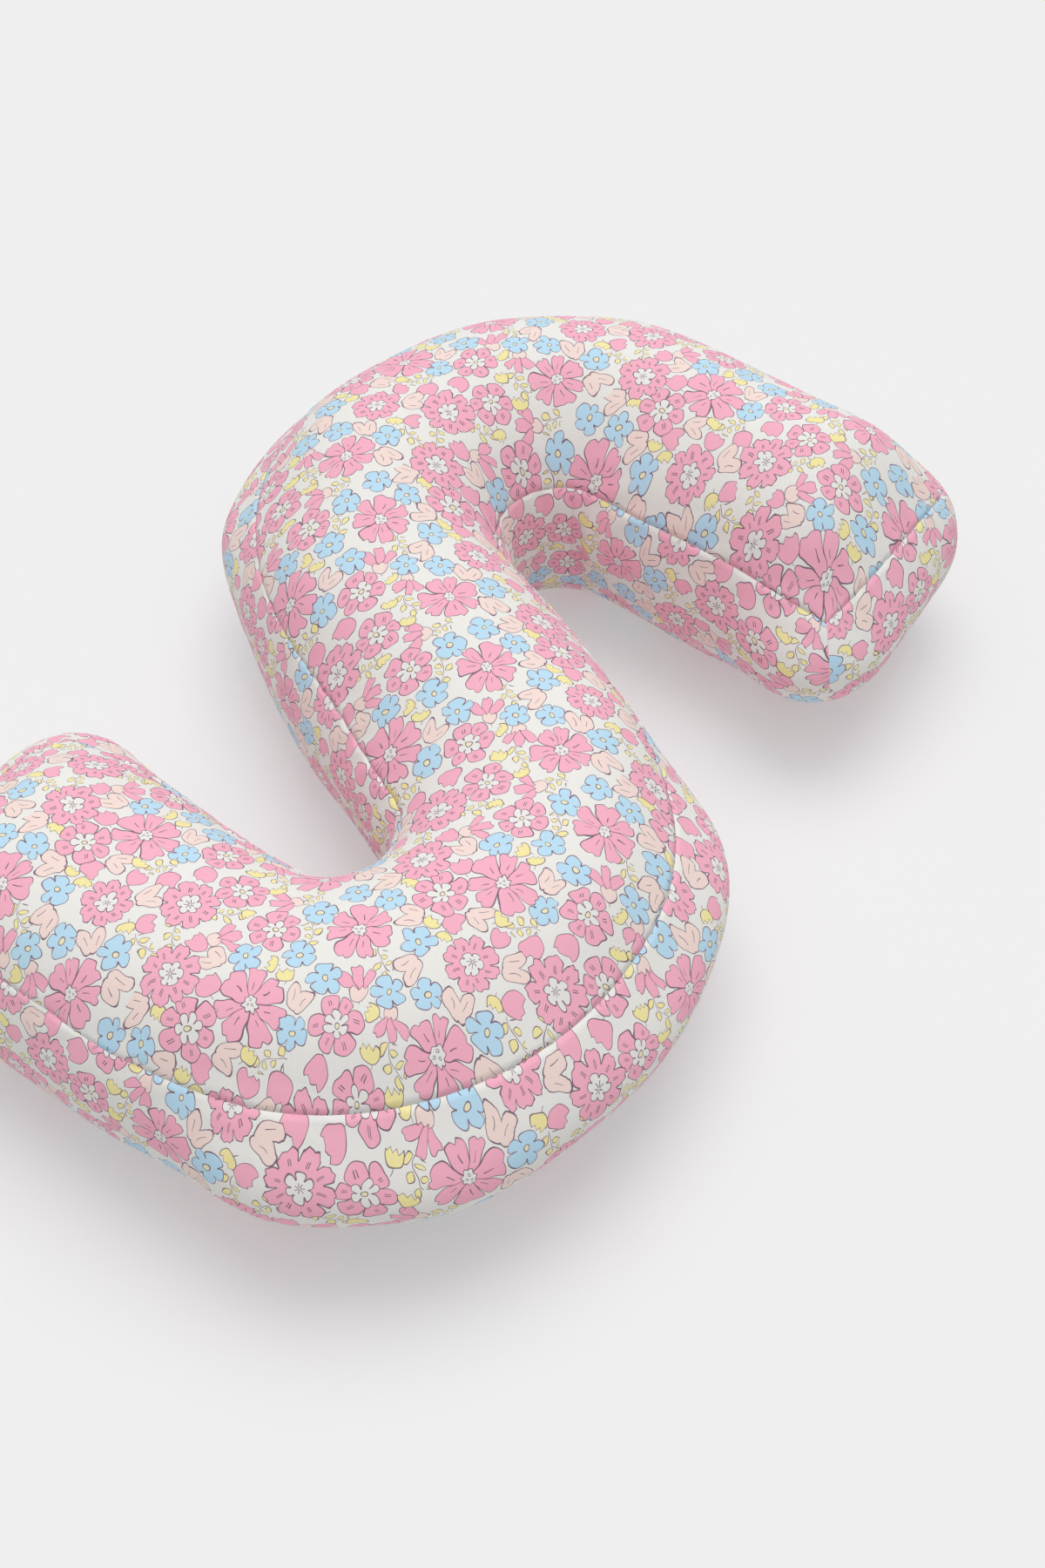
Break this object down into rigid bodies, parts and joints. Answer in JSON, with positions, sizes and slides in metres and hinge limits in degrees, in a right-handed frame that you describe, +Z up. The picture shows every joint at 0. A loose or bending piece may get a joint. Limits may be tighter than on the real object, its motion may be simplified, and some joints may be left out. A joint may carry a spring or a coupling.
{
  "type": "nursing pillow",
  "caption": "S-shaped box-sided nursing pillow in ditsy floral cotton, with a zipped removable cover over a fibre-filled inner pillow.",
  "frame": {"origin": "centre of the pillow's outline on the surface it lies on", "axes": "+Z up; X along the longest side; the short straight bar of the S runs along Y; the zipped bend is on the +X side"},
  "size_m": [0.6165, 0.4904, 0.135],
  "materials": {
    "floral_cotton": "matte printed cotton poplin",
    "white_lining": "matte plain cotton",
    "polyester_fibre": "loose hollow fibre",
    "zip_tape_weave": "matte woven tape",
    "zip_nylon": "satin nylon",
    "zip_enamel": "gloss enamel on zinc",
    "label_satin": "satin ribbon"
  },
  "bodies": {
    "root": {"cover_top_panel": "floral_cotton", "cover_bottom_panel": "floral_cotton", "cover_wall_front_strip": "floral_cotton", "cover_wall_bar_strip": "floral_cotton", "cover_wall_arm_strip": "floral_cotton", "cover_wall_zip_lower_strip": "floral_cotton", "cover_wall_zip_upper_strip": "floral_cotton", "care_label": "label_satin", "liner_top_panel": "white_lining", "liner_bottom_panel": "white_lining", "liner_wall_front_strip": "white_lining", "liner_wall_back_strip": "white_lining", "fibre_filling": "polyester_fibre", "zip_tape_lower": "zip_tape_weave", "zip_tape_upper": "zip_tape_weave", "zip_coil_lower": "zip_nylon", "zip_coil_upper": "zip_nylon", "zip_top_stop_lower": "zip_nylon", "zip_top_stop_upper": "zip_nylon", "zip_bottom_stop": "zip_nylon"},
    "zip_slider": {"zip_slider_body": "zip_enamel", "zip_slider_cap": "zip_enamel"},
    "zip_pull": {"zip_pull_tab": "zip_enamel"}
  },
  "joints": [
    {"name": "zip_slide", "type": "hinge", "parent": "root", "child": "zip_slider", "pos_m": [0.0965, 0.058, 0.06], "axis": [0, 0, -1], "range_deg": [0, 78]},
    {"name": "pull_tab_swing", "type": "hinge", "parent": "zip_slider", "child": "zip_pull", "pos_m": [-0.01231, 0.21339, 0.06], "axis": [0, 0, 1], "range_deg": [0, 170]}
  ]
}
